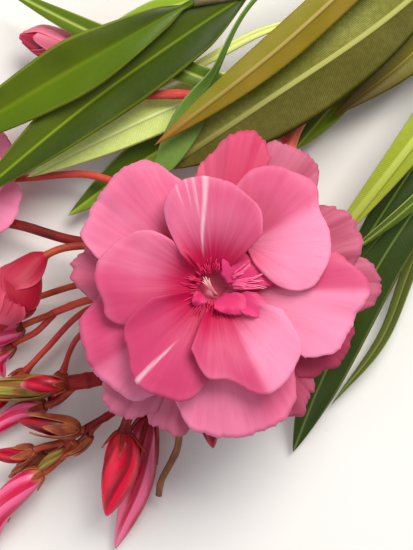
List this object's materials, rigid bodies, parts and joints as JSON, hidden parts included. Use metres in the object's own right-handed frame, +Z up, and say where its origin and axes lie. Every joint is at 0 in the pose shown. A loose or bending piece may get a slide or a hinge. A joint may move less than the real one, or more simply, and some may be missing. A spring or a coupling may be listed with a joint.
{
  "type": "cut flowering oleander branch",
  "caption": "Cut branch tip of a double pink oleander: leafy woody stem, a large open bloom, a smaller bloom, half-open flowers and bud clusters, lying flat.",
  "frame": {"origin": "centre of the bounding box on the ground that the branch lies on", "axes": "+Z up from the ground, the woody stem runs from its cut end at +X +Y down to the flowers at -X -Y"},
  "size_m": [0.2024, 0.214, 0.0438],
  "materials": {
    "bark": "rough",
    "stalk": "satin",
    "leaf": "glossy",
    "leaf_underside": "matte",
    "petal": "satin",
    "bud": "satin",
    "dry_stalk": "matte"
  },
  "bodies": {
    "root": {"main_stem": "bark", "flower_stalk": "stalk", "side_shoot": "bark", "leaf_01": "leaf", "leaf_02": "leaf", "leaf_03": "leaf", "leaf_04": "leaf_underside", "leaf_05": "leaf_underside", "leaf_06": "leaf_underside", "leaf_07": "leaf", "leaf_08": "leaf_underside", "leaf_09": "leaf", "leaf_10": "leaf_underside", "leaf_11": "leaf", "leaf_12": "leaf", "leaf_13": "leaf", "leaf_14": "leaf", "leaf_15": "leaf_underside", "leaf_16": "leaf", "leaf_17": "leaf", "leaf_18": "leaf", "leaf_19": "leaf", "bloom": "petal", "bloom_stalk": "stalk", "upper_branch": "stalk", "upper_flower": "petal", "side_bloom": "petal", "side_bloom_stalk": "stalk", "left_bud": "bud", "left_flower": "petal", "bud_01": "bud", "left_branch": "stalk", "bud_02": "bud", "bud_03": "bud", "bud_04": "bud", "bud_05": "bud", "lower_branch": "stalk", "bud_06": "bud", "bud_07": "bud", "bud_08": "bud", "low_branch": "stalk", "bud_09": "bud", "bud_10": "bud", "bud_11": "bud", "bud_12": "bud", "bud_13": "bud", "bud_14": "bud", "bud_15": "bud", "bud_16": "bud", "bud_17": "bud", "dry_stalk": "dry_stalk"}
  },
  "joints": []
}
